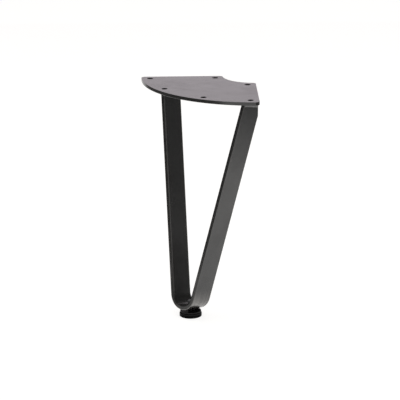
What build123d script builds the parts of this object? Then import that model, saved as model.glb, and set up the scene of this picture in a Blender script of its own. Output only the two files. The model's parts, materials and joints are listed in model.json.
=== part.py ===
"""Hairpin table leg: a flat bar bent to a leaning V, welded under a quarter-ring plate, with a screw-in foot.

Millimetres, +Z up. The origin lies on the floor, on the axis of the foot. The leg is symmetric about the
YZ plane: +X runs from one arm to the other, -Y is the way the leg leans out, under the rounded edge of
the plate, and +Y runs in towards the centre of the plate's arcs.
"""

import math
import os

from build123d import *

# Whole leg, from the floor to the mounting face with the foot screwed home
LEG_HEIGHT = 300.0
LEAN_ANGLE = 8.5

# Mounting plate, a quarter of a flat ring
PLATE_RADIUS = 147.5
PLATE_INNER_RADIUS = 41.5
PLATE_THICKNESS = 4.5
PLATE_OUTER_CORNER_RADIUS = 3.0
PLATE_INNER_CORNER_RADIUS = 5.0
PLATE_EDGE_ROUND = 0.5

# Screw holes: one row along the rounded edge, one pair at the hollow edge
HOLE_DIAMETER = 6.0
HOLE_EDGE_DISTANCE = 11.0
MIDDLE_HOLE_ANGLE = 30.5

# Flat bar and where its two ends stand under the plate
BAR_WIDTH = 30.0
BAR_THICKNESS = 5.0
BAR_EDGE_ROUND = 0.8
BEND_INNER_RADIUS = 15.5
ARM_SETBACK = 64.6
ARM_SIDE_DISTANCE = 7.2

# Fillet weld around each bar end: its legs, its toe on the bar, and the shoulder that rounds its face
WELD_LEG = 3.5
WELD_TOE = 0.3
WELD_SHOULDER_DROP = 1.6
WELD_SHOULDER_REACH = 2.45

# Foot base, two discs with a groove between them
FOOT_HEIGHT = 7.4
FOOT_RADIUS = 14.5
FOOT_COLLAR_RADIUS = 13.7
FOOT_DISC_HEIGHT = 4.0
FOOT_GROOVE_HEIGHT = 0.8
FOOT_GROOVE_DEPTH = 1.2
FOOT_DISC_CHAMFER = 0.8
FOOT_COLLAR_CHAMFER = 0.5
FOOT_FLOOR = 2.5
FOOT_GAP = 0.3

# Threaded stud of the foot, and how far it screws out
STUD_DIAMETER = 8.0
STUD_TIP_CHAMFER = 1.0
STUD_OFFSET = 2.5
THREAD_PITCH = 1.25
FOOT_TURNS = 5
THREAD_CLEARANCE = 0.06
STUD_SEAT_CLEARANCE = 0.04

# The leaning plane of the bent bar
lean = math.radians(LEAN_ANGLE)
underside_z = LEG_HEIGHT - PLATE_THICKNESS
bar_low_edge_z = FOOT_HEIGHT + FOOT_GAP
bend_radius = BEND_INNER_RADIUS + BAR_THICKNESS / 2
bar_across = Vector(0, -math.cos(lean), math.sin(lean))
bar_upward = Vector(0, math.sin(lean), math.cos(lean))
bar_bottom = Vector(
    0,
    -STUD_OFFSET,
    bar_low_edge_z + BAR_WIDTH / 2 * math.sin(lean) + BAR_THICKNESS / 2 * math.cos(lean),
)
bend_centre = bar_bottom + bar_upward * bend_radius
bar_plane = Plane(origin=bend_centre, x_dir=(1, 0, 0), z_dir=bar_across)

# Where the arms meet the plate, and the spread that follows from it
arm_reach = PLATE_RADIUS - ARM_SETBACK
arm_half_spread = arm_reach - ARM_SIDE_DISTANCE * math.sqrt(2)
arm_rise = (underside_z - bend_centre.Z) / math.cos(lean)
arm_slant = math.hypot(arm_half_spread, arm_rise)
spread = math.acos(bend_radius / arm_slant) - math.atan2(arm_rise, arm_half_spread)
arm_top_y = bend_centre.Y + arm_rise * math.sin(lean)
arc_centre_y = arm_top_y + arm_reach

# Stud length follows from the bend that it passes and the turns that it has to give
foot_travel = FOOT_TURNS * THREAD_PITCH
bend_inside_z = bar_bottom.Z + BAR_THICKNESS / 2 / math.cos(lean) - STUD_OFFSET * math.tan(lean)
stud_top_z = bend_inside_z + foot_travel


def plate_point(radius, angle_from_side, side):
    """A point of the plate about its arc centre: side 1 for +X, -1 for -X."""
    angle = math.radians(-45 - angle_from_side)
    return (side * radius * math.cos(angle), radius * math.sin(angle))


def edge_angle(radius):
    """The angle from a straight side at which a hole on this radius keeps its edge distance."""
    return math.degrees(math.asin(HOLE_EDGE_DISTANCE / radius))


def plate_wedge(mode=Mode.ADD):
    """The right angle between the plate's two straight sides, past everything that it trims."""
    reach = 2 * (PLATE_RADIUS + LEG_HEIGHT)
    return Polygon((0, 0), (-reach, -reach), (reach, -reach), align=None, mode=mode)


def arm_section(side, height, grow):
    """Corners of one arm's level section at a height, grown on every side."""
    below = underside_z - height
    centre_x = arm_half_spread - below / math.cos(lean) * math.tan(spread)
    centre_y = arm_top_y - below * math.tan(lean)
    half_x = BAR_THICKNESS / 2 / math.cos(spread) + grow
    half_y = BAR_WIDTH / 2 / math.cos(lean) + grow
    skew = math.tan(spread) * math.sin(lean)
    corners = [(half_x, half_y), (-half_x, half_y), (-half_x, -half_y), (half_x, -half_y)]
    return [(side * (centre_x + x + y * skew), centre_y + y) for x, y in corners]


# Mounting plate
outer_hole_radius = PLATE_RADIUS - HOLE_EDGE_DISTANCE
inner_hole_radius = PLATE_INNER_RADIUS + HOLE_EDGE_DISTANCE
hole_places = [
    plate_point(radius, angle, side)
    for radius, angle in (
        (outer_hole_radius, edge_angle(outer_hole_radius)),
        (outer_hole_radius, MIDDLE_HOLE_ANGLE),
        (inner_hole_radius, edge_angle(inner_hole_radius)),
    )
    for side in (-1, 1)
]

with BuildPart() as mounting_plate:
    with BuildSketch(Plane((0, arc_centre_y, underside_z))) as plate_outline:
        Circle(PLATE_RADIUS)
        Circle(PLATE_INNER_RADIUS, mode=Mode.SUBTRACT)
        plate_wedge(mode=Mode.INTERSECT)
        corners = plate_outline.vertices().sort_by_distance((0, 0, 0))
        fillet(corners[:2], PLATE_INNER_CORNER_RADIUS)
        corners = plate_outline.vertices().sort_by_distance((0, 0, 0))
        fillet(corners.group_by(SortBy.DISTANCE)[-1], PLATE_OUTER_CORNER_RADIUS)
        with Locations(*hole_places):
            Circle(HOLE_DIAMETER / 2, mode=Mode.SUBTRACT)
    extrude(amount=PLATE_THICKNESS)
    rims = [mounting_plate.faces().sort_by(Axis.Z)[i].outer_wire().edges() for i in (0, -1)]
    fillet(rims[0] + rims[1], PLATE_EDGE_ROUND)
mounting_plate.part.label = "mounting_plate"

# Flat bar, bent on the flat to a V and cut off flush with the plate's underside and straight sides
arm_length = (arm_rise + bend_radius * math.sin(spread)) / math.cos(spread) + BAR_WIDTH
tangent_x = bend_radius * math.cos(spread)
tangent_y = -bend_radius * math.sin(spread)
arm_end_x = tangent_x + arm_length * math.sin(spread)
arm_end_y = tangent_y + arm_length * math.cos(spread)
spread_degrees = math.degrees(spread)

with BuildPart() as flat_bar:
    with BuildLine(bar_plane) as bar_path:
        Line((-arm_end_x, arm_end_y), (-tangent_x, tangent_y))
        CenterArc((0, 0), bend_radius, 180 + spread_degrees, 180 - 2 * spread_degrees)
        Line((tangent_x, tangent_y), (arm_end_x, arm_end_y))
    with BuildSketch(Plane(origin=bar_path.line @ 0, x_dir=bar_across, z_dir=bar_path.line % 0)):
        RectangleRounded(BAR_WIDTH, BAR_THICKNESS, BAR_EDGE_ROUND)
    sweep()
    with BuildSketch(Plane((0, arc_centre_y, 0))):
        plate_wedge()
    extrude(amount=underside_z, mode=Mode.INTERSECT)
    with BuildSketch():
        Circle(STUD_DIAMETER / 2 + THREAD_CLEARANCE)
    extrude(amount=bend_centre.Z, mode=Mode.SUBTRACT)
flat_bar.part.label = "flat_bar"


def weld_bead(side):
    """The bead around one bar end, a little rounded, from its toes on the plate to those on the bar."""
    with BuildPart() as bead:
        for drop, grow in ((0, WELD_LEG), (WELD_SHOULDER_DROP, WELD_SHOULDER_REACH), (WELD_LEG, WELD_TOE)):
            height = underside_z - drop
            with BuildSketch(Plane.XY.offset(height)):
                Polygon(*arm_section(side, height, grow), align=None)
        loft(ruled=True)
        with BuildSketch(Plane((0, arc_centre_y, 0))):
            plate_wedge()
        extrude(amount=underside_z, mode=Mode.INTERSECT)
        add(flat_bar.part, mode=Mode.SUBTRACT)
    return bead.part


weld_left = weld_bead(-1)
weld_left.label = "weld_left"
weld_right = weld_bead(1)
weld_right.label = "weld_right"

# Foot base
groove_top = FOOT_DISC_HEIGHT + FOOT_GROOVE_HEIGHT
groove_radius = FOOT_COLLAR_RADIUS - FOOT_GROOVE_DEPTH
seat_radius = STUD_DIAMETER / 2 + STUD_SEAT_CLEARANCE

with BuildPart() as foot_base:
    with BuildSketch(Plane.XZ) as foot_profile:
        with BuildLine():
            Polyline(
                (0, 0),
                (FOOT_RADIUS, 0),
                (FOOT_RADIUS, FOOT_DISC_HEIGHT),
                (groove_radius, FOOT_DISC_HEIGHT),
                (groove_radius, groove_top),
                (FOOT_COLLAR_RADIUS, groove_top),
                (FOOT_COLLAR_RADIUS, FOOT_HEIGHT),
                (seat_radius, FOOT_HEIGHT),
                (seat_radius, FOOT_FLOOR),
                (0, FOOT_FLOOR),
                close=True,
            )
        make_face()
        chamfer(foot_profile.vertices().group_by(Axis.X)[-1], FOOT_DISC_CHAMFER)
        collar_rim = foot_profile.vertices().sort_by_distance((FOOT_COLLAR_RADIUS, FOOT_HEIGHT))[0]
        chamfer(collar_rim, FOOT_COLLAR_CHAMFER)
    revolve(axis=Axis.Z)
foot_base.part.label = "foot_base"

# Threaded stud, at the size of its thread's crests
with BuildPart() as foot_stud:
    with BuildSketch(Plane.XY.offset(FOOT_FLOOR)):
        Circle(STUD_DIAMETER / 2)
    extrude(amount=stud_top_z - FOOT_FLOOR)
    chamfer(foot_stud.edges().sort_by(Axis.Z)[-1], STUD_TIP_CHAMFER)
foot_stud.part.label = "foot_stud"

os.makedirs("parts", exist_ok=True)
export_step(mounting_plate.part, "parts/mounting_plate.step")
export_step(flat_bar.part, "parts/flat_bar.step")
export_step(weld_left, "parts/weld_left.step")
export_step(weld_right, "parts/weld_right.step")
export_step(foot_base.part, "parts/foot_base.step")
export_step(foot_stud.part, "parts/foot_stud.step")
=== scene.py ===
"""Dressed hairpin table leg: a bent flat bar welded under a quarter-ring plate, with a levelling foot.

Metres, in the frame of the packed part: the origin lies on the floor, on the axis of the foot, +Z is up,
-Y is the way the leg leans out and +X runs from one arm to the other.
"""

import json
import math
import random

import bmesh
import bpy
from bpy.props import FloatProperty, FloatVectorProperty, IntProperty, PointerProperty
from mathutils import Matrix, Vector

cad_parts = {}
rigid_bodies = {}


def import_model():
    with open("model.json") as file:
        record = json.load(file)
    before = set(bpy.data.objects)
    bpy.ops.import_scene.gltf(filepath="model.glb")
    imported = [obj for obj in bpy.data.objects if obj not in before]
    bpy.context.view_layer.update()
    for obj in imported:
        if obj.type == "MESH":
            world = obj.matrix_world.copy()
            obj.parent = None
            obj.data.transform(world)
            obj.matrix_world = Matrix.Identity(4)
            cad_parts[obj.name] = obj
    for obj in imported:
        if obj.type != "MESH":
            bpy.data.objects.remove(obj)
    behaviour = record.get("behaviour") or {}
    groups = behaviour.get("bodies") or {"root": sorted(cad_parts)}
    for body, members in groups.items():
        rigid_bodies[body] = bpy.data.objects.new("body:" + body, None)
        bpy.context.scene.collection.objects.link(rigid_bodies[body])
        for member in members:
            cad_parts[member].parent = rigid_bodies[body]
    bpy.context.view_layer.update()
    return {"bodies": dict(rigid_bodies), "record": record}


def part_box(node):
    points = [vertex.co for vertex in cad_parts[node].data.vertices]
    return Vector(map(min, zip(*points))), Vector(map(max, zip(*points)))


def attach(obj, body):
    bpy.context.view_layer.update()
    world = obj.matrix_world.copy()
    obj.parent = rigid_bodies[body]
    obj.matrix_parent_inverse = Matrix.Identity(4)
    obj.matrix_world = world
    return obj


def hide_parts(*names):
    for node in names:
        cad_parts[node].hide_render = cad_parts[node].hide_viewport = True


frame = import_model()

bl_info = {
    "name": "Hairpin table leg",
    "version": (1, 0, 0),
    "blender": (4, 5, 0),
    "location": "View3D > Sidebar > Leg",
    "description": "Builds the dressed pieces of a hairpin table leg around its packed solids",
    "category": "Object",
}

MM = 0.001
MICRON = 0.000001
WHITE = (1, 1, 1)

# Places and sizes that the packed part gives
PLATE_LOW, PLATE_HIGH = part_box("mounting_plate")
BAR_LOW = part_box("flat_bar")[0]
BASE_LOW, BASE_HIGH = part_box("foot_base")
STUD_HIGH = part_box("foot_stud")[1]
SCREW_ROWS = [m for m in frame["record"]["mounts"] if m["kind"] == "bolt_pattern"]
SCREW_COUPLING = frame["record"]["behaviour"]["couplings"][0]
THREAD_PITCH = 2 * math.pi / SCREW_COUPLING["ratio"]

# How finely round forms and long faces are divided
ARC_STEP = math.radians(3)
CORNER_STEPS = 4
HOLE_STEPS = 48
LATHE_STEPS = 128
THREAD_STEPS = 64
BEAD_STEPS = 10
RIPPLE_STATIONS = 6
CORNER_STATIONS = 8
ARM_SECTIONS = 16
FACE_STRIPS = 8

# Sharpest turns of a surface that are still shaded smoothly
CREASE_DEGREES = 35
BEAD_CREASE_DEGREES = 60
THREAD_CREASE_DEGREES = 25

# How near to a plane the vertices of a cut lie, and how far below the sole the floor is drawn
CUT_TOLERANCE = 2 * MICRON
FLOOR_GAP = 0.1 * MM

# Weld: how deep its back is sunk into bar and plate, how far a ripple lags at its toes, how many ripples a
# sway of its toes takes, and how many random values it goes through
BEAD_SUNK = 0.1 * MM
RIPPLE_LAG = 0.35
SWAY_RIPPLES = 3
BEAT_COUNT = 80

# Thread: its depth in pitches, how far its crests stay inside the solid stud, and the land at its tip
THREAD_DEPTH = 0.613
CREST_INSET = 0.02 * MM
TIP_LAND = 0.1 * MM

# Textures: features to the metre, or along each axis for lines, and the height of the fine ones
CLOUDS = 45.0
GRAINS = 1600.0
PEELS = 620.0
HANDLING_MARKS = 24.0
DRAW_LINES = (9.0, 1000.0, 1000.0)
SPARKS = 2600.0
SCUFFS = 320.0
ZINC_PATCHES = 420.0
THREAD_LINES = (250.0, 250.0, 5200.0)
FINE_HEIGHT = 4 * MICRON

# Where the bent bar's finish changes: along the bar from the middle of the bend, across it from its middle
# line, and out from the middle of its thickness
STRETCH_FADE = (12 * MM, 45 * MM)
PRESS_RISE = (4 * MM, 20 * MM)
PRESS_FADE = (40 * MM, 180 * MM)
RIM_FADE = (30 * MM, 60 * MM)
RUBBED_SIDE = (-4 * MM, -12 * MM)
# Where the painted highlight strips lie on the arms: how far from the middle of the bend they start, and how
# far across from the middle line
HIGHLIGHT_RISE = (16 * MM, 28 * MM)
HIGHLIGHT_BAND = (13.6 * MM, 15 * MM)
RIM_BAND = (15 * MM, 15.6 * MM)
FACE_SKIN = (1.2 * MM, 2.2 * MM)
EDGE_SKIN = (2.2 * MM, 2.45 * MM)

# Heights over which the stud turns paler towards its tip, just inside the bend
PALE_TIP_RISE = (14.5 * MM, 16.5 * MM)


def length(name, description, default):
    """A length that a user would change."""
    return FloatProperty(name=name, description=description, default=default, unit="LENGTH", precision=5)


def angle(name, description, degrees):
    """An angle that a user would change."""
    return FloatProperty(name=name, description=description, default=math.radians(degrees), unit="ROTATION")


def number(name, description, default):
    """A plain number that a user would change."""
    return FloatProperty(name=name, description=description, default=default, precision=4)


def colour(name, description, default):
    """A linear colour that a user would change."""
    return FloatVectorProperty(
        name=name, description=description, default=default, subtype="COLOR", size=3, min=0, max=1
    )


class PlateSizes(bpy.types.PropertyGroup):
    """Sizes of the mounting plate, a quarter of a flat ring"""

    radius: length("Radius", "Radius of the rounded edge", 147.5 * MM)
    inner_radius: length("Inner radius", "Radius of the hollow edge", 41.5 * MM)
    outer_corner: length("Outer corner", "Rounding of the two wide corners", 6 * MM)
    inner_corner: length("Inner corner", "Rounding of the two narrow corners", 5 * MM)
    edge_round: length("Edge rounding", "Rounding of the upper edge", 0.25 * MM)
    under_round: length("Lower edge rounding", "Rounding that the press leaves on the lower edge", 0.7 * MM)
    hole_round: length("Hole rounding", "Rounding of the coated hole rims", 0.05 * MM)
    hole_burn: length("Hole burn", "How much wider than its screw size the cutter burns a hole", 0.5 * MM)
    # The hole's shade ring is painted shade: a dark, matt ring on the upper face around each hole.
    hole_shade_ring: length("Hole halo", "Width of the matt ring that the cutter leaves around a hole", 0.7 * MM)


class BarSizes(bpy.types.PropertyGroup):
    """Sizes of the flat bar and of the V that it is bent to"""

    width: length("Width", "Width of the flat bar", 31.4 * MM)
    thickness: length("Thickness", "Thickness of the flat bar", 5 * MM)
    edge_round: length("Edge rounding", "Rounding of the rolled edges", 0.35 * MM)
    bend_inner_radius: length("Bend radius", "Inner radius of the bend at the foot", 15.5 * MM)
    lean: angle("Lean", "How far the leg leans out", 8.5)
    arm_setback: length("Arm setback", "From the plate's rounded edge in to the arms", 64.6 * MM)
    arm_side_distance: length("Arm side distance", "From the plate's straight sides to the arms", 7.2 * MM)
    stud_offset: length("Stud offset", "How far the stud stands behind the middle of the bar", 2.2 * MM)
    bend_flare: length("Bend flare", "How far the pressed inside of the bend widens", 0.22 * MM)
    bend_bow: length("Bend bow", "How far the edges of the bend curl outwards", 0.3 * MM)
    cut_round: length("Cut rounding", "Rounding of the cut that is flush with the plate", 0.12 * MM)


class WeldSizes(bpy.types.PropertyGroup):
    """Sizes of the fillet welds under the plate"""

    leg: length("Leg", "How far the bead reaches over the plate", 3.5 * MM)
    inner_drop: length("Inner drop", "How far the bead runs down the inner face", 3.5 * MM)
    outer_drop: length("Outer drop", "How far it runs down the outer face at its front edge", 7.7 * MM)
    drop_slope: number("Drop slope", "How much further it runs down towards the flush cut", 0.19)
    ripple_pitch: length("Ripple pitch", "Distance from one ripple to the next", 2.3 * MM)
    ripple_height: length("Ripple height", "Height of a ripple under its coat", 0.22 * MM)
    wander: length("Wander", "How far the toes of the bead wander", 0.18 * MM)
    seed: IntProperty(name="Seed", description="Start of the random wander", default=7)


class FootSizes(bpy.types.PropertyGroup):
    """Sizes of the levelling foot"""

    collar_radius: length("Collar radius", "Radius of the upper disc", 13.7 * MM)
    disc_height: length("Disc height", "Height of the lower disc", 4.5 * MM)
    groove_height: length("Groove height", "Height of the groove between the discs", 1.4 * MM)
    groove_depth: length("Groove depth", "Depth of the groove behind the collar", 3 * MM)
    disc_round: length("Disc rounding", "Rounding of the lower disc's rims", 0.5 * MM)
    collar_round: length("Collar rounding", "Rounding of the collar's upper rim", 0.5 * MM)
    fine_round: length("Fine rounding", "Rounding of the groove, the recess and the seat", 0.2 * MM)
    sole_radius: length("Sole recess", "Radius of the shallow recess in the sole", 10 * MM)
    sole_depth: length("Sole depth", "Depth of the shallow recess in the sole", 0.4 * MM)
    stud_clearance: length("Stud clearance", "Gap between the stud's crests and the bar's hole", 0.06 * MM)
    seat_depth: length("Seat depth", "How far the stud's thread is moulded into the collar", 1.2 * MM)


class LegFinishes(bpy.types.PropertyGroup):
    """Colours and textures of the leg's finishes"""

    coat: colour("Coat", "Thin black coat", (0.0180, 0.0172, 0.0160))
    coat_roughness: number("Coat roughness", "Roughness of the satin coat", 0.2)
    coat_ior: number("Coat index", "Refractive index of the coat", 1.7)
    matt_roughness: number("Matt roughness", "Roughness of the coat where it lost its gloss", 0.5)
    matt_gloss: number("Matt gloss", "How much of its mirroring the coat keeps there", 0.15)
    # Pale steel colour: bare steel through the stretched coat at the outside of the bend, painted paler
    # there as a painted reflection, and the colour of the painted highlight strips along the arms' edges.
    bare_and_sheen: colour("Bare steel", "Steel that shows through a thin or stretched coat", (0.45, 0.44, 0.425))
    # Its share at the outside of the bend: partly bare steel, partly painted reflection.
    bare_and_sheen_share: number("Bare share", "How much of it shows at the outside of the bend", 0.6)
    pressed_dull: number("Pressed dullness", "How much gloss the coat loses where the bend was pressed", 0.9)
    handling: number("Handling marks", "How much duller the coat is where it was handled", 0.12)
    # Edge highlight: how much pale steel colour is painted in strips along the arms' edges, as painted
    # highlights on their rounded edges.
    edge_highlight: number("Edge wear", "How much steel shows along the arms' edges", 0.33)
    peel_height: length("Peel height", "Height of the coat's fine orange peel", 9 * MICRON)
    draw_height: length("Draw line height", "Height of the rolled lines under the coat", 5 * MICRON)
    plastic: colour("Plastic", "Black moulded plastic of the foot", (0.0150, 0.0150, 0.0155))
    # Pale plastic painted on the side of the collar and the upper rim of the disc as painted highlights.
    highlight_plastic: colour("Rubbed plastic", "Paler plastic where its rims are rubbed", (0.11, 0.11, 0.113))
    plastic_roughness: number("Plastic roughness", "Roughness of the moulded plastic", 0.4)
    plastic_ior: number("Plastic index", "Refractive index of the plastic", 1.4)
    plastic_gloss: number("Plastic gloss", "How much the plastic mirrors", 0.03)
    zinc: colour("Zinc", "Dark zinc of the stud", (0.03, 0.03, 0.032))
    pale_tip: colour("Bare tip", "Paler zinc of the stud's tip, above the bend", (0.20, 0.20, 0.205))


class StudioSettings(bpy.types.PropertyGroup):
    """The camera, the pale floor and the soft lights"""

    azimuth: angle("Azimuth", "Where the camera stands around the leg", 43.739)
    elevation: angle("Elevation", "How far the camera looks down", 16.544)
    roll: angle("Roll", "How far the camera is tipped", 0.341)
    focal: FloatProperty(name="Lens", description="Focal length", default=183.47, unit="CAMERA")
    distance: length("Distance", "From the aim point to the camera", 2.6365)
    aim: FloatVectorProperty(
        name="Aim",
        description="Point in the middle of the picture",
        default=(-0.0009, 0.0199, 0.15245),
        subtype="TRANSLATION",
        unit="LENGTH",
    )
    floor: colour("Floor", "Pale floor", (0.40, 0.385, 0.36))
    floor_width: length("Floor width", "Width of the square floor", 16)
    glow: number("Glow", "White that the floor shows besides what lights it", 0.84)
    backdrop: colour("Backdrop", "Pale backdrop that the plate mirrors", (0.82, 0.762, 0.807))
    backdrop_width: length("Backdrop width", "Width of the square backdrop", 3)
    backdrop_distance: length("Backdrop distance", "From the leg back to the backdrop", 1.9)
    ambient: number("Ambient", "Soft light from all around", 0.35)
    top_light: number("Top light", "Brightness of the soft box above", 2.0)
    top_height: length("Top height", "From the aim point up to the soft box", 1.5)
    top_width: length("Top width", "Width of the square soft box", 1.4)
    card_width: length("Card width", "Width of both side cards", 1.6)
    left_card: length("Left card", "From the leg to the dark card on the left", 0.52)
    left_height: length("Left height", "Height of the left card", 0.5)
    left_low: number("Left low tone", "Tone of the left card at the floor", 0.72)
    left_high: number("Left high tone", "Tone of the left card higher up", 0.5)
    left_fade: length("Left fade", "Height over which the left card's tone fades", 0.15)
    left_forward: length("Left forward", "How far the left card stands forward", 0.1)
    right_card: length("Right card", "From the leg to the grey card on the right", 0.4)
    right_height: length("Right height", "Height of the right card", 1.2)
    right_low: number("Right low tone", "Tone of the right card at the floor", 1.0)
    right_high: number("Right high tone", "Tone of the right card higher up", 0.26)
    right_fade: length("Right fade", "Height over which the right card's tone fades", 0.16)
    right_glow: number("Right glow", "How much the right card shines by itself", 0.5)


GROUPS = {
    "leg_plate": PlateSizes,
    "leg_bar": BarSizes,
    "leg_weld": WeldSizes,
    "leg_foot": FootSizes,
    "leg_finish": LegFinishes,
    "leg_studio": StudioSettings,
}


class Value:
    """A shader socket that takes part in sums: an expression on it adds the Math nodes that work it out."""

    def __init__(self, tree, socket):
        self.tree = tree
        self.socket = socket

    def math(self, operation, *values):
        node = self.tree.nodes.new("ShaderNodeMath")
        node.operation = operation
        for socket, value in zip(node.inputs, values):
            plug(self.tree, socket, value)
        return Value(self.tree, node.outputs[0])

    def __add__(self, other):
        return self.math("ADD", self, other)

    def __radd__(self, other):
        return self.math("ADD", other, self)

    def __sub__(self, other):
        return self.math("SUBTRACT", self, other)

    def __rsub__(self, other):
        return self.math("SUBTRACT", other, self)

    def __mul__(self, other):
        return self.math("MULTIPLY", self, other)

    def __rmul__(self, other):
        return self.math("MULTIPLY", other, self)

    def __abs__(self):
        return self.math("ABSOLUTE", self)


def plug(tree, socket, value):
    """Links a value to a socket, or sets the socket to a plain number, colour or vector."""
    if isinstance(value, Value):
        tree.links.new(value.socket, socket)
    elif hasattr(value, "__len__") and socket.type == "RGBA" and len(value) == 3:
        socket.default_value = (*value, 1)
    else:
        socket.default_value = value


class NodeBench:
    """Builds the nodes of one material or world."""

    def __init__(self, owner):
        owner.use_nodes = True
        self.tree = owner.node_tree
        self.tree.nodes.clear()

    def node(self, kind, settings=None, sockets=None, output=0):
        """Adds a node: its settings first, then what its sockets hold, by identifier or name."""
        node = self.tree.nodes.new("ShaderNode" + kind)
        for name, value in (settings or {}).items():
            setattr(node, name, value)
        for name, value in (sockets or {}).items():
            matches = [s for s in node.inputs if s.identifier == name]
            matches += [s for s in node.inputs if s.name == name]
            plug(self.tree, matches[0], value)
        return Value(self.tree, node.outputs[output]) if node.outputs else None

    def place(self):
        """The place on a piece, in metres of its own."""
        return self.node("TexCoord", output="Object")

    def carried(self, name, output):
        """What the vertices of a piece carry under a name."""
        return self.node("Attribute", {"attribute_name": name}, output=output)

    def along(self, place, axis):
        """How far a place lies along an axis."""
        return self.node("SeparateXYZ", None, {"Vector": place}, output=axis)

    def noise(self, place, scale, detail=2.0, roughness=0.5):
        """Fractal noise from 0 to 1, at so many features to the metre."""
        sockets = {"Vector": place, "Scale": scale, "Detail": detail, "Roughness": roughness}
        return self.node("TexNoise", None, sockets)

    def lines(self, place, scales, detail):
        """Fractal noise from 0 to 1, at so many features to the metre along each axis."""
        sockets = {"Vector": place, "Vector_001": scales}
        return self.noise(self.node("VectorMath", {"operation": "MULTIPLY"}, sockets), 1.0, detail)

    def mixed(self, factor, first, second):
        """A colour between two others."""
        settings = {"data_type": "RGBA", "clamp_factor": True}
        sockets = {"Factor_Float": factor, "A_Color": first, "B_Color": second}
        return self.node("Mix", settings, sockets, output=2)

    def ranged(self, value, low, high, new_low=0.0, new_high=1.0):
        """A value moved from one range to another, smoothly and within it."""
        settings = {"interpolation_type": "SMOOTHSTEP", "clamp": True}
        sockets = {"Value": value, "From Min": low, "From Max": high, "To Min": new_low, "To Max": new_high}
        return self.node("MapRange", settings, sockets)

    def bumped(self, height):
        """A normal that follows a height in metres."""
        return self.node("Bump", None, {"Strength": 1.0, "Distance": 1.0, "Height": height})

    def blended(self, factor, first, second):
        """A shader between two others."""
        return self.node("MixShader", None, {"Fac": factor, "Shader": first, "Shader_001": second})

    def added(self, first, second):
        """Two shaders together."""
        return self.node("AddShader", None, {"Shader": first, "Shader_001": second})


def seen_rays(bench):
    """1 for rays that show a thing to the camera, straight or by gloss or glass, and 0 for the rest."""
    hidden = 1
    for name in ("Is Camera Ray", "Is Glossy Ray", "Is Transmission Ray"):
        hidden = hidden * (1 - bench.node("LightPath", output=name))
    return 1 - hidden


def bar_wear(bench, finish):
    """The bent bar's rolled lines, its bare share at the outside of the bend (bare steel, painted paler as a
    painted reflection), where its coat lost its gloss, and painted highlight strips along its arms' edges.
    """
    place = bench.carried("bar_place", "Vector")
    run, across, outward = (bench.along(place, axis) for axis in "XYZ")
    away, beside, inward = abs(run), abs(across), 0 - outward
    lines = bench.lines(place, DRAW_LINES, detail=2.0)
    stretched = (1 - bench.ranged(away, *STRETCH_FADE)) * bench.ranged(outward, *FACE_SKIN)
    # The outside of the bend shows bare steel through its stretched coat, painted paler than that as a
    # painted reflection of the bright floor below.
    bare_and_sheen = finish.bare_and_sheen_share * stretched * bench.ranged(lines, 0.2, 0.8, 0.35, 1.65)
    pressed = bench.ranged(away, *PRESS_RISE, 0.5, 1.0) * (1 - bench.ranged(away, *PRESS_FADE))
    rim = (1 - bench.ranged(away, *RIM_FADE)) * bench.ranged(beside, *RIM_BAND)
    rim_mark = rim * bench.ranged(run, *RUBBED_SIDE, 0.35, 0.9)
    dull = finish.pressed_dull * (pressed * bench.ranged(inward, *FACE_SKIN) + rim_mark)
    edges = bench.ranged(inward, *EDGE_SKIN) + 0.4 * bench.ranged(outward, *EDGE_SKIN)
    # Painted highlight strips on the faces just beside the arms' edges, stronger on the inner faces.
    edge_highlight_strip = bench.ranged(beside, *HIGHLIGHT_BAND) * bench.ranged(away, *HIGHLIGHT_RISE) * edges
    return lines, bare_and_sheen, dull, finish.edge_highlight * edge_highlight_strip


def powder_coat(bench, finish, peel_share=1.0, on_bar=False):
    """Satin black powder coat: fine orange peel, a little cloudiness, holes and rings around them painted
    dark and matt as painted shade, and the bent bar's bare steel, dulled coat, painted reflection and
    painted edge highlights.
    """
    place = bench.place()
    cloud = bench.noise(place, CLOUDS, detail=3.0)
    grain = bench.noise(place, GRAINS, detail=1.0)
    peel = bench.noise(place, PEELS, detail=1.5, roughness=0.4)
    marks = bench.noise(place, HANDLING_MARKS, detail=4.0, roughness=0.6)
    bored = bench.carried("bored", "Fac")
    # Where bored, the coat is painted much darker and matt: painted shade in the holes and in a ring around
    # each.
    dark, pale, hole_shade = ([share * c for c in finish.coat] for share in (0.82, 1.25, 0.2))
    paint = bench.mixed(bored, bench.mixed(0.75 * cloud + 0.25 * grain, dark, pale), hole_shade)
    rough = finish.coat_roughness + 0.10 * (cloud - 0.5) + 0.06 * (grain - 0.5) + 0.5 * bored
    height = peel_share * finish.peel_height * (peel + 0.35 * grain)
    bare_and_sheen = 0
    dull = bored + finish.handling * bench.ranged(marks, 0.42, 0.68)
    if on_bar:
        lines, bare_and_sheen, pressed, edge_highlight_strip = bar_wear(bench, finish)
        # Bare steel and painted reflection at the outside of the bend, and the painted highlight strips
        # along the arms' edges.
        paint = bench.mixed(bare_and_sheen, bench.mixed(edge_highlight_strip, paint, finish.bare_and_sheen), finish.bare_and_sheen)
        rough = rough + 0.06 * (lines - 0.5)
        height = height + finish.draw_height * lines
        dull = dull + pressed
    both = {"Base Color": paint, "Normal": bench.bumped(height)}
    satin = {"Metallic": bare_and_sheen, "Roughness": rough, "IOR": finish.coat_ior}
    matt = {"Roughness": finish.matt_roughness, "Specular IOR Level": finish.matt_gloss}
    shaders = [bench.node("BsdfPrincipled", None, both | sockets) for sockets in (satin, matt)]
    return bench.blended(dull, *shaders)


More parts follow.
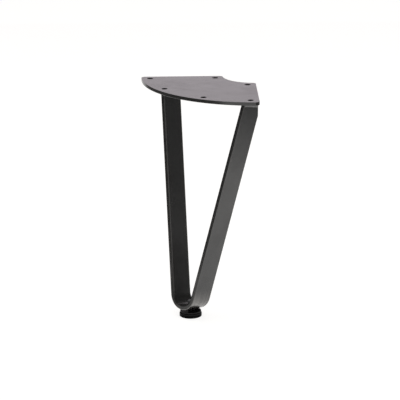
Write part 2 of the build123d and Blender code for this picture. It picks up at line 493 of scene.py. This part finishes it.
def moulded_plastic(bench, finish):
    """Black moulded plastic with a fine spark texture, a few dull scuffs and rims painted pale as painted
    highlights.
    """
    place = bench.place()
    rim_mark = bench.carried("rim_mark", "Fac")
    spark = bench.noise(place, SPARKS)
    scuff = bench.ranged(bench.noise(place, SCUFFS, detail=4.0, roughness=0.65), 0.56, 0.74)
    # The marked rims are painted pale as painted highlights; the scuffs are the plastic's own wear.
    scuffs_and_highlights = 0.06 * scuff + rim_mark * (0.7 + 0.5 * (spark - 0.5) + 0.3 * scuff)
    sockets = {
        "Base Color": bench.mixed(scuffs_and_highlights, finish.plastic, finish.highlight_plastic),
        "Roughness": finish.plastic_roughness + 0.06 * (spark - 0.5) + 0.14 * scuff,
        "IOR": finish.plastic_ior,
        "Specular IOR Level": finish.plastic_gloss,
        "Normal": bench.bumped(FINE_HEIGHT * spark),
    }
    return bench.node("BsdfPrincipled", None, sockets)


def dark_zinc(bench, finish):
    """Dark zinc on a rolled thread, duller in places and paler towards its tip."""
    place = bench.place()
    dull = bench.noise(place, ZINC_PATCHES, detail=3.0)
    rolled = bench.lines(place, THREAD_LINES, detail=1.0)
    tip = bench.ranged(bench.along(place, "Z") + 2 * MM * dull, *PALE_TIP_RISE)
    sockets = {
        "Base Color": bench.mixed(tip, finish.zinc, finish.pale_tip),
        "Metallic": 0.7,
        "Roughness": 0.32 + 0.22 * dull + 0.06 * rolled,
        "Normal": bench.bumped(FINE_HEIGHT * rolled),
    }
    return bench.node("BsdfPrincipled", None, sockets)


def pale_shine(bench, tint, shine, glow):
    """A pale sheet, as white as its light and its glow together, and clear from its back."""
    lit = bench.node("BsdfDiffuse", None, {"Color": tint})
    pale = bench.node("Emission", None, {"Color": shine, "Strength": glow})
    shown = bench.blended(seen_rays(bench), lit, bench.added(lit, pale))
    clear = bench.node("BsdfTransparent", None, {"Color": WHITE})
    return bench.blended(bench.node("NewGeometry", output="Backfacing"), shown, clear)


def fading_grey(bench, height, tones, glow):
    """A card of this height, its tones given as (height of the fade, tone at the floor, tone above)."""
    tone = bench.ranged(bench.along(bench.place(), "Y") + height / 2, 0.0, *tones)
    lit = bench.node("BsdfDiffuse", None, {"Color": tone})
    return bench.added(lit, bench.node("Emission", None, {"Color": tone, "Strength": glow}))


def new_material(name, make_shader, *settings, **options):
    """A material whose surface is the shader that a function makes."""
    material = bpy.data.materials.new(name)
    bench = NodeBench(material)
    bench.node("OutputMaterial", None, {"Surface": make_shader(bench, *settings, **options)})
    return material


# The leg's finishes: what makes each, and its options
FINISHES = {
    "plate_coat": (powder_coat, {}),
    "bar_coat": (powder_coat, {"on_bar": True}),
    "weld_coat": (powder_coat, {"peel_share": 1.6}),
    "foot_moulding": (moulded_plastic, {}),
    "stud_zinc": (dark_zinc, {}),
}


def finish_material(context, name):
    """The leg's material of this name, made once."""
    make_shader, options = FINISHES[name]
    found = bpy.data.materials.get(name)
    return found or new_material(name, make_shader, context.scene.leg_finish, **options)


def smooth(share):
    """A share from 0 to 1 that starts and ends gently."""
    return share * share * (3 - 2 * share)


def arc_points(centre, radius, start, end, steps):
    """Points of an arc in a plane, both ends among them."""
    turns = [start + (end - start) * i / steps for i in range(steps + 1)]
    return [(centre[0] + radius * math.cos(t), centre[1] + radius * math.sin(t)) for t in turns]


def circle_points(centre, radius, steps):
    """Points of a full circle in a plane."""
    return arc_points(centre, radius, 0, 2 * math.pi, steps)[:-1]


def rounded_corners(corners):
    """Points of an open outline whose corners (x, y, radius) are rounded."""
    points = [Vector(corners[0][:2])]
    for before, (x, y, radius), after in zip(corners, corners[1:], corners[2:]):
        here = Vector((x, y))
        if radius == 0:
            points.append(here)
            continue
        back = (Vector(before[:2]) - here).normalized()
        ahead = (Vector(after[:2]) - here).normalized()
        half = back.angle(ahead) / 2
        middle = here + (back + ahead).normalized() * radius / math.sin(half)
        first = here + back * radius / math.tan(half) - middle
        turn = first.angle_signed(here + ahead * radius / math.tan(half) - middle)
        for i in range(CORNER_STEPS + 1):
            points.append(middle + Matrix.Rotation(-turn * i / CORNER_STEPS, 2) @ first)
    points.append(Vector(corners[-1][:2]))
    return points


def level_ring(bm, outline, height):
    """Vertices of an outline at one height."""
    return [bm.verts.new((x, y, height)) for x, y in outline]


def bridge_rings(bm, rings, closed):
    """Quads between rings of as many vertices, each ring closed or open."""
    for lower, upper in zip(rings, rings[1:]):
        count = len(lower) if closed else len(lower) - 1
        for i in range(count):
            j = (i + 1) % len(lower)
            corners = [lower[i], lower[j], upper[j], upper[i]]
            corners = [v for k, v in enumerate(corners) if v not in corners[:k]]
            if len(corners) > 2:
                bm.faces.new(corners)


def lathe(bm, profile, steps=LATHE_STEPS):
    """A profile of (radius, height) turned about the Z axis, closed where it meets the axis."""
    rings = []
    for radius, height in profile:
        if radius < MICRON:
            rings.append([bm.verts.new((0, 0, height))] * steps)
        else:
            rings.append(level_ring(bm, circle_points((0, 0), radius, steps), height))
    bridge_rings(bm, rings, closed=True)


def cut_flush(bm, point, normal):
    """Cuts away what lies on the normal's side of a plane and closes the cut."""
    geometry = bm.verts[:] + bm.edges[:] + bm.faces[:]
    cut = bmesh.ops.bisect_plane(
        bm, geom=geometry, dist=MICRON, plane_co=point, plane_no=normal, clear_outer=True
    )
    edges = [e for e in cut["geom_cut"] if isinstance(e, bmesh.types.BMEdge)]
    bmesh.ops.holes_fill(bm, edges=[e for e in edges if e.is_boundary], sides=0)


def finish_mesh(bm, name, crease_degrees=CREASE_DEGREES):
    """A linked object of a bmesh, with outward faces and shading that is smooth up to its creases."""
    bmesh.ops.recalc_face_normals(bm, faces=bm.faces)
    mesh = bpy.data.meshes.new(name)
    bm.to_mesh(mesh)
    bm.free()
    mesh.shade_smooth()
    mesh.set_sharp_from_angle(angle=math.radians(crease_degrees))
    piece = bpy.data.objects.new(name, mesh)
    bpy.context.scene.collection.objects.link(piece)
    return piece


def even_normals(piece):
    """Lets large flat faces keep their flat shading beside small rounded edges."""
    modifier = piece.modifiers.new("even_normals", "WEIGHTED_NORMAL")
    modifier.keep_sharp = True
    modifier.weight = 60


def settle(piece, material, body, slot, *nodes):
    """Gives a piece its finish, the body that it rides on and the CAD nodes that it stands for."""
    piece.data.materials.clear()
    piece.data.materials.append(material)
    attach(piece, body)
    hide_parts(*nodes)


def rim_rounding(low_round, high_round):
    """(inset, height) of the plate's edge with its two roundings, from the lower face to the upper one."""
    turns = [math.pi / 2 * i / CORNER_STEPS for i in range(CORNER_STEPS + 1)]
    quarter = [(1 - math.sin(t), 1 - math.cos(t)) for t in turns]
    lower = [(low_round * inset, PLATE_LOW.z + low_round * rise) for inset, rise in quarter]
    upper = [(high_round * inset, PLATE_HIGH.z - high_round * rise) for inset, rise in reversed(quarter)]
    return lower + upper


def plate_outline(sizes, inset):
    """Outline of the plate about the centre of its arcs, as far inside its edge as the inset."""
    diagonal = math.sqrt(0.5)
    along, inward = Vector((diagonal, -diagonal)), Vector((-diagonal, -diagonal))
    outer_span = math.sqrt((sizes.radius - sizes.outer_corner) ** 2 - sizes.outer_corner**2)
    inner_span = math.sqrt((sizes.inner_radius + sizes.inner_corner) ** 2 - sizes.inner_corner**2)
    outer_centre = along * outer_span + inward * sizes.outer_corner
    inner_centre = along * inner_span + inward * sizes.inner_corner
    outer_turn = math.atan2(outer_centre.y, outer_centre.x)
    inner_turn = math.atan2(inner_centre.y, inner_centre.x)
    front, side = -math.pi / 2, math.pi / 4
    arc_steps = round((outer_turn - front) / (ARC_STEP / 2))
    corner_steps = 3 * CORNER_STEPS
    right = arc_points((0, 0), sizes.radius - inset, front, outer_turn, arc_steps)[:-1]
    right += arc_points(outer_centre, sizes.outer_corner - inset, outer_turn, side, corner_steps)
    right += arc_points(inner_centre, sizes.inner_corner - inset, side, inner_turn + math.pi, corner_steps)
    right += arc_points((0, 0), sizes.inner_radius + inset, inner_turn, front, arc_steps)[1:]
    left = [(-x, y) for x, y in reversed(right[1:-1])]
    return right + left


class LEG_OT_mounting_plate(bpy.types.Operator):
    """Builds the quarter-ring plate with its rounded cut edge and six screw holes"""

    bl_idname = "leg.mounting_plate"
    bl_label = "Mounting plate"

    def execute(self, context):
        sizes = context.scene.leg_plate
        arc_centre_y = PLATE_LOW.y + sizes.radius
        bm = bmesh.new()
        bored = bm.verts.layers.float.new("bored")
        edge = []
        for inset, height in rim_rounding(sizes.under_round, sizes.edge_round):
            outline = [(x, arc_centre_y + y) for x, y in plate_outline(sizes, inset)]
            edge.append(level_ring(bm, outline, height))
        rims = [edge]
        for row in SCREW_ROWS:
            radius = row["dims"]["hole_r_mm"] * MM + sizes.hole_burn
            for side in (-1, 1):
                centre = (side * row["dims"]["spacing_x_mm"] / 2 * MM, row["pos_m"][1])
                rings = []
                for inset, height in rim_rounding(sizes.hole_round, sizes.hole_round):
                    rings.append(level_ring(bm, circle_points(centre, radius + inset, HOLE_STEPS), height))
                # The hole walls and a ring on the upper face around each hole carry the bored mark, which
                # the coat paints dark and matt as painted shade.
                for vertex in (v for ring in rings[1:] for v in ring):
                    vertex[bored] = 1.0
                shade_ring = circle_points(centre, radius + sizes.hole_shade_ring, HOLE_STEPS)
                rings.append(level_ring(bm, shade_ring, PLATE_HIGH.z))
                rims.append(rings)
        for rings in rims:
            bridge_rings(bm, rings, closed=True)
        for face_ring in (0, -1):
            loops = [rings[face_ring] for rings in rims]
            borders = [bm.edges.get((ring[i - 1], ring[i])) for ring in loops for i in range(len(ring))]
            bmesh.ops.triangle_fill(bm, use_beauty=True, use_dissolve=False, edges=borders)
        piece = finish_mesh(bm, "mounting_plate_coated")
        even_normals(piece)
        settle(piece, finish_material(context, "plate_coat"), "leg", "coated_steel", "mounting_plate")
        return {"FINISHED"}


class BarLine:
    """The bent bar's leaning middle line: an arc over the foot and two straight arms up to the plate."""

    def __init__(self, scene):
        bar, plate = scene.leg_bar, scene.leg_plate
        self.sizes = bar
        self.across = Vector((0, -math.cos(bar.lean), math.sin(bar.lean)))
        self.upward = Vector((0, math.sin(bar.lean), math.cos(bar.lean)))
        self.sideways = Vector((1, 0, 0))
        self.bend_radius = bar.bend_inner_radius + bar.thickness / 2
        rise_of_edge = bar.width / 2 * math.sin(bar.lean) + bar.thickness / 2 * math.cos(bar.lean)
        bottom = Vector((0, -bar.stud_offset, BAR_LOW.z + rise_of_edge))
        self.bend_centre = bottom + self.upward * self.bend_radius
        self.underside = PLATE_LOW.z
        self.arc_centre = Vector((0, PLATE_LOW.y + plate.radius, 0))
        arm_reach = plate.radius - bar.arm_setback
        self.half_spread = arm_reach - bar.arm_side_distance * math.sqrt(2)
        rise = (self.underside - self.bend_centre.z) / math.cos(bar.lean)
        slant = math.hypot(self.half_spread, rise)
        self.spread = math.acos(self.bend_radius / slant) - math.atan2(rise, self.half_spread)
        self.top_y = self.bend_centre.y + rise * math.sin(bar.lean)
        self.bend_turn = math.pi / 2 - self.spread
        self.bend_run = self.bend_radius * self.bend_turn
        self.fade_run = 2 * bar.thickness
        self.arm_run = (rise + self.bend_radius * math.sin(self.spread)) / math.cos(self.spread)

    def place(self, run, across, outward):
        """A point of the bar at a run from the middle of the bend, which flares and bows a little there."""
        sizes = self.sizes
        within = max(-self.bend_run, min(self.bend_run, run))
        turn = within / self.bend_radius
        normal = self.sideways * math.sin(turn) - self.upward * math.cos(turn)
        tangent = self.sideways * math.cos(turn) + self.upward * math.sin(turn)
        bent = 1 - smooth(max(0.0, min(1.0, (abs(run) - self.bend_run) / self.fade_run)))
        share = across / (sizes.width / 2)
        across -= share * sizes.bend_flare * bent * outward / (sizes.thickness / 2)
        outward += sizes.bend_bow * bent * (share * share - 0.5)
        middle = self.bend_centre + normal * self.bend_radius + tangent * (run - within)
        return middle + self.across * across + normal * outward

    def runs(self):
        """Runs at which the bar gets a section: close together in the bend, further apart on the arms."""
        steps = round(2 * self.bend_turn / ARC_STEP)
        bend = [self.bend_run * (2 * i / steps - 1) for i in range(steps + 1)]
        right = [self.bend_run + self.fade_run * share for share in (0.25, 0.5, 0.75, 1)]
        arm_start, arm_end = right[-1], self.bend_run + self.arm_run + self.sizes.width
        for i in range(1, ARM_SECTIONS + 1):
            right.append(arm_start + (arm_end - arm_start) * i / ARM_SECTIONS)
        return [-run for run in reversed(right)] + bend + right

    def section(self):
        """(across, outward) points around the bar: its rolled edges rounded, its faces in strips."""
        rounding = self.sizes.edge_round
        flat, deep = self.sizes.width / 2 - rounding, self.sizes.thickness / 2 - rounding
        points = []
        for quarter, (x, y) in enumerate(((flat, deep), (-flat, deep), (-flat, -deep), (flat, -deep))):
            start = quarter * math.pi / 2
            points += arc_points((x, y), rounding, start, start + math.pi / 2, CORNER_STEPS)
            if quarter % 2 == 0:
                face = points[-1][1]
                points += [(x * (1 - 2 * i / FACE_STRIPS), face) for i in range(1, FACE_STRIPS)]
        return points

    def arm_middle(self, height):
        """Middle of the +X arm's level section at a height."""
        below = self.underside - height
        lean = self.sizes.lean
        x = self.half_spread - below / math.cos(lean) * math.tan(self.spread)
        return Vector((x, self.top_y - below * math.tan(lean)))

    def arm_section(self):
        """Half sizes of an arm's level section, and its skew."""
        lean = self.sizes.lean
        half = (self.sizes.thickness / 2 / math.cos(self.spread), self.sizes.width / 2 / math.cos(lean))
        return half, math.tan(self.spread) * math.sin(lean)

    def side_normal(self, side):
        """The way that the plate's straight side faces."""
        return Vector((side, 1, 0)).normalized()

    def trim(self, bm, sides=(-1, 1)):
        """Cuts a mesh flush with the plate's straight sides."""
        for side in sides:
            cut_flush(bm, self.arc_centre, self.side_normal(side))


class LEG_OT_bent_bar(bpy.types.Operator):
    """Bends the flat bar to its leaning V, cuts its ends flush and bores the hole for the stud"""

    bl_idname = "leg.bent_bar"
    bl_label = "Bent bar"

    def execute(self, context):
        line = BarLine(context.scene)
        bm = bmesh.new()
        bar_place = bm.verts.layers.float_vector.new("bar_place")
        section = line.section()
        rings = []
        for run in line.runs():
            ring = []
            for across, outward in section:
                vertex = bm.verts.new(line.place(run, across, outward))
                vertex[bar_place] = Vector((run, across, outward))
                ring.append(vertex)
            rings.append(ring)
        bridge_rings(bm, rings, closed=True)
        cut_flush(bm, Vector((0, 0, line.underside)), Vector((0, 0, 1)))
        line.trim(bm)
        self.round_cuts(bm, line)
        piece = finish_mesh(bm, "flat_bar_coated")
        self.bore(piece, context.scene)
        even_normals(piece)
        settle(piece, finish_material(context, "bar_coat"), "leg", "coated_steel", "flat_bar")
        return {"FINISHED"}

    def round_cuts(self, bm, line):
        """Rounds the edges of the flush cuts below the plate, as their coat does."""
        below = line.underside - CUT_TOLERANCE
        for side in (-1, 1):
            normal = line.side_normal(side)
            edges = [
                edge
                for edge in bm.edges
                if all(abs((v.co - line.arc_centre).dot(normal)) < CUT_TOLERANCE for v in edge.verts)
                and any(v.co.z <= below for v in edge.verts)
            ]
            bmesh.ops.bevel(
                bm,
                geom=edges,
                offset=line.sizes.cut_round,
                segments=2,
                affect="EDGES",
                profile=0.5,
                clamp_overlap=True,
            )

    def bore(self, piece, scene):
        """Bores the tapped hole of the bend on the foot's axis."""
        radius = STUD_HIGH.x + scene.leg_foot.stud_clearance
        bottom, top = BAR_LOW.z - radius, STUD_HIGH.z
        bm = bmesh.new()
        lathe(bm, [(0, bottom), (radius, bottom), (radius, top), (0, top)], THREAD_STEPS)
        drill = finish_mesh(bm, "drill")
        modifier = piece.modifiers.new("bore", "BOOLEAN")
        modifier.operation = "DIFFERENCE"
        modifier.solver = "EXACT"
        modifier.object = drill
        bored = bpy.data.meshes.new_from_object(piece.evaluated_get(bpy.context.evaluated_depsgraph_get()))
        piece.modifiers.clear()
        bm = bmesh.new()
        bm.from_mesh(bored)
        bmesh.ops.remove_doubles(bm, verts=bm.verts, dist=MICRON)
        bmesh.ops.dissolve_degenerate(bm, edges=bm.edges, dist=MICRON)
        bm.to_mesh(bored)
        bm.free()
        bored.set_sharp_from_angle(angle=math.radians(CREASE_DEGREES))
        plain = piece.data
        piece.data = bored
        bored.name = plain.name
        bpy.data.meshes.remove(plain)
        bpy.data.objects.remove(drill)


class LEG_OT_weld_beads(bpy.types.Operator):
    """Lays a rippled fillet weld around each bar end, softened by the coat"""

    bl_idname = "leg.weld_beads"
    bl_label = "Weld beads"

    def execute(self, context):
        line = BarLine(context.scene)
        for side, node in ((-1, "weld_left"), (1, "weld_right")):
            bm = bmesh.new()
            self.lay_bead(bm, line, side, context.scene.leg_weld)
            line.trim(bm, (side,))
            piece = finish_mesh(bm, node + "_coated", BEAD_CREASE_DEGREES)
            settle(piece, finish_material(context, "weld_coat"), "leg", "coated_weld", node)
        return {"FINISHED"}

    def stations(self, half, skew, sizes):
        """(edge point, outward direction, run, drop) round a bar end, from its far side and back."""
        step = sizes.ripple_pitch / RIPPLE_STATIONS
        overshoot = 4 * half[0]
        far, near = half[1] + overshoot, -half[1]
        found, run = [], 0.0

        def straight(start, end, outward, first, last):
            nonlocal run
            distance = (end - start).length
            count = max(1, round(distance / step))
            for i in range(count):
                share = i / count
                drop = first + (last - first) * share
                found.append((start.lerp(end, share), outward, run + distance * share, drop))
            run += distance

        def corner(point, start_turn, first, last):
            nonlocal run
            for i in range(CORNER_STATIONS):
                share = i / CORNER_STATIONS
                turn = start_turn + math.pi / 2 * share
                outward = Vector((math.cos(turn), math.sin(turn)))
                found.append((point, outward, run, first + (last - first) * share))
                run += step / 2

        inner, outer = sizes.inner_drop, sizes.outer_drop
        middle = (inner + outer) / 2
        end = outer + sizes.drop_slope * (far - near)
        straight(Vector((-half[0], far)), Vector((-half[0], near)), Vector((-1, 0)), inner, inner)
        corner(Vector((-half[0], near)), math.pi, inner, inner)
        straight(Vector((-half[0], near)), Vector((half[0], near)), Vector((0, -1)), inner, middle)
        corner(Vector((half[0], near)), 1.5 * math.pi, middle, outer)
        straight(Vector((half[0], near)), Vector((half[0], far)), Vector((1, 0)), outer, end)
        return [(Vector((p.x + p.y * skew, p.y)), *rest) for p, *rest in found]

    def lay_bead(self, bm, line, side, sizes):
        """One bead: a convex fillet with ripples along it, its back sunk a little into bar and plate."""
        chance = random.Random(sizes.seed + side)
        beats = [chance.uniform(0.6, 1.0) for _ in range(BEAT_COUNT)]
        sways = [chance.uniform(-1, 1) for _ in range(BEAT_COUNT)]
        rings = []
        for point, outward, run, fall in self.stations(*line.arm_section(), sizes):
            beat = run / sizes.ripple_pitch
            sway = sizes.wander * self.between(sways, beat / SWAY_RIPPLES)
            ring = [(-BEAD_SUNK, -BEAD_SUNK), (sizes.leg + sway, -BEAD_SUNK)]
            for i in range(BEAD_STEPS + 1):
                turn = math.pi / 2 * i / BEAD_STEPS
                late = beat + RIPPLE_LAG * (2 * i / BEAD_STEPS - 1) ** 2
                swell = abs(math.sin(math.pi * late)) * self.between(beats, late)
                swell *= sizes.ripple_height * math.sin(2 * turn)
                reach = (sizes.leg + sway + swell) * math.cos(turn)
                drop = (fall - sway + swell) * math.sin(turn)
                ring.append((reach, drop))
            ring.append((-BEAD_SUNK, fall - sway))
            vertices = []
            for reach, drop in ring:
                height = line.underside - drop
                flat = line.arm_middle(height) + point + outward * reach
                vertices.append(bm.verts.new((side * flat.x, flat.y, height)))
            rings.append(vertices)
        bridge_rings(bm, rings, closed=True)

    def between(self, values, place):
        """A value between two neighbours of a list, smoothly."""
        index = math.floor(place)
        share = smooth(place - index)
        return values[index % len(values)] * (1 - share) + values[(index + 1) % len(values)] * share


class LEG_OT_levelling_foot(bpy.types.Operator):
    """Turns the two-disc foot and cuts the thread of its stud"""

    bl_idname = "leg.levelling_foot"
    bl_label = "Levelling foot"

    def execute(self, context):
        sizes = context.scene.leg_foot
        bm = bmesh.new()
        lathe(bm, self.profile(sizes))
        self.mark_highlights(bm, sizes)
        base = finish_mesh(bm, "foot_base_moulded")
        even_normals(base)
        settle(base, finish_material(context, "foot_moulding"), "base", "foot_plastic", "foot_base")
        bm = bmesh.new()
        self.cut_thread(bm, BASE_HIGH.z - sizes.seat_depth, STUD_HIGH.z)
        stud = finish_mesh(bm, "foot_stud_threaded", THREAD_CREASE_DEGREES)
        settle(stud, finish_material(context, "stud_zinc"), "base", "stud_steel", "foot_stud")
        return {"FINISHED"}

    def profile(self, sizes):
        """Half section of the base, from the middle of the sole round to the seat of the stud."""
        radius, top, seat_radius = BASE_HIGH.x, BASE_HIGH.z, STUD_HIGH.x
        groove_top = sizes.disc_height + sizes.groove_height
        groove_radius = sizes.collar_radius - sizes.groove_depth
        fine = sizes.fine_round
        return rounded_corners(
            [
                (0, sizes.sole_depth, 0),
                (sizes.sole_radius, sizes.sole_depth, fine),
                (sizes.sole_radius + sizes.sole_depth, 0, fine),
                (radius, 0, sizes.disc_round),
                (radius, sizes.disc_height, sizes.disc_round),
                (groove_radius, sizes.disc_height, fine),
                (groove_radius, groove_top, fine),
                (sizes.collar_radius, groove_top, fine),
                (sizes.collar_radius, top, sizes.collar_round),
                (seat_radius + fine, top, fine),
                (seat_radius, top - fine * 2, 0),
                (seat_radius, top - 2 * sizes.seat_depth, 0),
                (0, top - 2 * sizes.seat_depth, 0),
            ]
        )

    def mark_highlights(self, bm, sizes):
        """Marks where the base gets painted highlights: on the side of its collar and on the upper rim of
        its disc.
        """
        rim_mark = bm.verts.layers.float.new("rim_mark")
        groove_top = sizes.disc_height + sizes.groove_height
        rim_low = sizes.disc_height - 0.75 * sizes.disc_round
        for vertex in bm.verts:
            reach, height = vertex.co.xy.length, vertex.co.z
            on_collar = height > groove_top and reach > sizes.collar_radius - 0.2 * MM
            on_rim = height > rim_low and reach > sizes.collar_radius - 0.1 * MM
            vertex[rim_mark] = 1.0 if on_collar or on_rim else 0.0

    def cut_thread(self, bm, low, high):
        """A right-hand metric thread from one height to another, with a chamfered tip."""
        crest = STUD_HIGH.x - CREST_INSET
        root = crest - THREAD_DEPTH * THREAD_PITCH
        core, tip = root - THREAD_PITCH / 4, root + TIP_LAND
        form = [(root, 0.0), (root, 0.25), (crest, 0.5625), (crest, 0.6875)]
        turns = math.ceil((high - low) / THREAD_PITCH) + 3
        start = low - 1.5 * THREAD_PITCH
        rows = []
        for i in range(turns * THREAD_STEPS + 1):
            turn = 2 * math.pi * i / THREAD_STEPS
            row = []
            for radius, share in form:
                height = start + THREAD_PITCH * (i / THREAD_STEPS + share)
                narrow = min(radius, max(core, tip + high - height))
                row.append(bm.verts.new((narrow * math.cos(turn), narrow * math.sin(turn), height)))
            rows.append(row)
        bridge_rings(bm, rows, closed=False)
        above = rows[THREAD_STEPS:]
        for row, following, over, after in zip(rows, rows[1:], above, above[1:]):
            bm.faces.new((row[-1], following[-1], after[0], over[0]))
        cut_flush(bm, Vector((0, 0, high)), Vector((0, 0, 1)))
        cut_flush(bm, Vector((0, 0, low)), Vector((0, 0, -1)))


class LEG_OT_studio(bpy.types.Operator):
    """Sets the pale floor and backdrop, the soft box, the grey side cards and the camera"""

    bl_idname = "leg.studio"
    bl_label = "Studio"

    def execute(self, context):
        studio = context.scene.leg_studio
        self.background(context.scene, studio)
        ahead = self.camera(context.scene, studio)
        away = Vector((ahead.x, ahead.y, 0)).normalized()
        across = Vector((-away.y, away.x, 0))
        floor = self.pale_sheet("pale_floor", studio.floor_width, studio.floor, WHITE, studio.glow)
        floor.location.z = BASE_LOW.z - FLOOR_GAP
        floor.parent = frame["bodies"]["stud"]
        width, tint = studio.backdrop_width, studio.backdrop
        backdrop = self.pale_sheet("pale_backdrop", width, tint, tint, studio.glow)
        self.stand_up(backdrop, away * studio.backdrop_distance, width)
        middle = Vector(studio.aim)
        self.soft_box("soft_box_top", middle, studio.top_height, studio.top_width, studio.top_light)
        size = (studio.card_width, studio.left_height)
        tones = (studio.left_fade, studio.left_low, studio.left_high)
        left = self.side_card("side_card_left", across * studio.left_card, size, tones, 0.0)
        left.location -= away * studio.left_forward
        size = (studio.card_width, studio.right_height)
        tones = (studio.right_fade, studio.right_low, studio.right_high)
        self.side_card("side_card_right", -across * studio.right_card, size, tones, studio.right_glow)
        context.scene.view_settings.view_transform = "Standard"
        return {"FINISHED"}

    def background(self, scene, studio):
        """A white surround to look at, and a softer one that lights the leg."""
        scene.world = bpy.data.worlds.new("white_surround")
        bench = NodeBench(scene.world)
        soft = bench.node("Background", None, {"Color": WHITE, "Strength": studio.ambient})
        white = bench.node("Background", None, {"Color": WHITE, "Strength": 1.0})
        bench.node("OutputWorld", None, {"Surface": bench.blended(seen_rays(bench), soft, white)})

    def pale_sheet(self, name, size, tint, shine, glow):
        """A wide square sheet, lying flat."""
        bm = bmesh.new()
        bmesh.ops.create_grid(bm, x_segments=8, y_segments=8, size=size / 2)
        sheet = finish_mesh(bm, name)
        sheet.data.materials.append(new_material(name, pale_shine, tint, shine, glow))
        return sheet

    def side_card(self, name, place, size, tones, glow):
        """A grey card of (width, height) beside the leg that keeps what faces it dark."""
        bm = bmesh.new()
        bmesh.ops.create_grid(bm, x_segments=4, y_segments=4, size=0.5)
        bmesh.ops.scale(bm, vec=(*size, 1), verts=bm.verts)
        card = finish_mesh(bm, name)
        self.stand_up(card, place, size[1])
        card.data.materials.append(new_material(name, fading_grey, size[1], tones, glow))
        return card

    def stand_up(self, sheet, place, height):
        """Stands a sheet on the floor, facing the leg from its place and unseen by the camera."""
        sheet.location = place + Vector((0, 0, height / 2))
        sheet.rotation_mode = "QUATERNION"
        sheet.rotation_quaternion = (-place).to_track_quat("Z", "Y")
        sheet.visible_camera = False

    def soft_box(self, name, middle, height, size, brightness):
        """A square lamp of even brightness above the leg."""
        lamp = bpy.data.lights.new(name, "AREA")
        lamp.shape = "SQUARE"
        lamp.size = size
        lamp.energy = brightness * math.pi * size * size
        box = bpy.data.objects.new(name, lamp)
        box.location = middle + Vector((0, 0, height))
        box.visible_camera = False
        box.visible_glossy = False
        bpy.context.scene.collection.objects.link(box)

    def camera(self, scene, studio):
        """The camera, tipped and aimed as the settings say; gives the way it looks."""
        turn, tilt = studio.azimuth, studio.elevation
        level = math.cos(tilt)
        ahead = Vector((-math.sin(turn) * level, math.cos(turn) * level, -math.sin(tilt)))
        lens = bpy.data.cameras.new("camera")
        lens.lens = studio.focal
        lens.sensor_width = 36
        lens.clip_end = 60
        camera = bpy.data.objects.new("camera", lens)
        camera.rotation_mode = "QUATERNION"
        tipped = Matrix.Rotation(-studio.roll, 3, "Z").to_quaternion()
        camera.rotation_quaternion = ahead.to_track_quat("-Z", "Y") @ tipped
        camera.location = Vector(studio.aim) - ahead * studio.distance
        scene.collection.objects.link(camera)
        scene.camera = camera
        return ahead


class LEG_PT_sidebar(bpy.types.Panel):
    """The leg's sizes, finishes and steps in the sidebar"""

    bl_label = "Hairpin table leg"
    bl_space_type = "VIEW_3D"
    bl_region_type = "UI"
    bl_category = "Leg"

    def draw(self, context):
        for operator in STEPS:
            self.layout.operator(operator.bl_idname)
        for name, group in GROUPS.items():
            box = self.layout.box()
            box.label(text=group.__doc__)
            for prop in group.__annotations__:
                box.prop(getattr(context.scene, name), prop)


STEPS = (LEG_OT_mounting_plate, LEG_OT_bent_bar, LEG_OT_weld_beads, LEG_OT_levelling_foot, LEG_OT_studio)


def register():
    for item in (*GROUPS.values(), *STEPS, LEG_PT_sidebar):
        bpy.utils.register_class(item)
    for name, group in GROUPS.items():
        setattr(bpy.types.Scene, name, PointerProperty(type=group))


def unregister():
    for name in GROUPS:
        delattr(bpy.types.Scene, name)
    for item in reversed((*GROUPS.values(), *STEPS, LEG_PT_sidebar)):
        bpy.utils.unregister_class(item)


def main():
    register()
    bpy.ops.leg.mounting_plate()
    bpy.ops.leg.bent_bar()
    bpy.ops.leg.weld_beads()
    bpy.ops.leg.levelling_foot()
    bpy.ops.leg.studio()


if __name__ == "__main__":
    main()
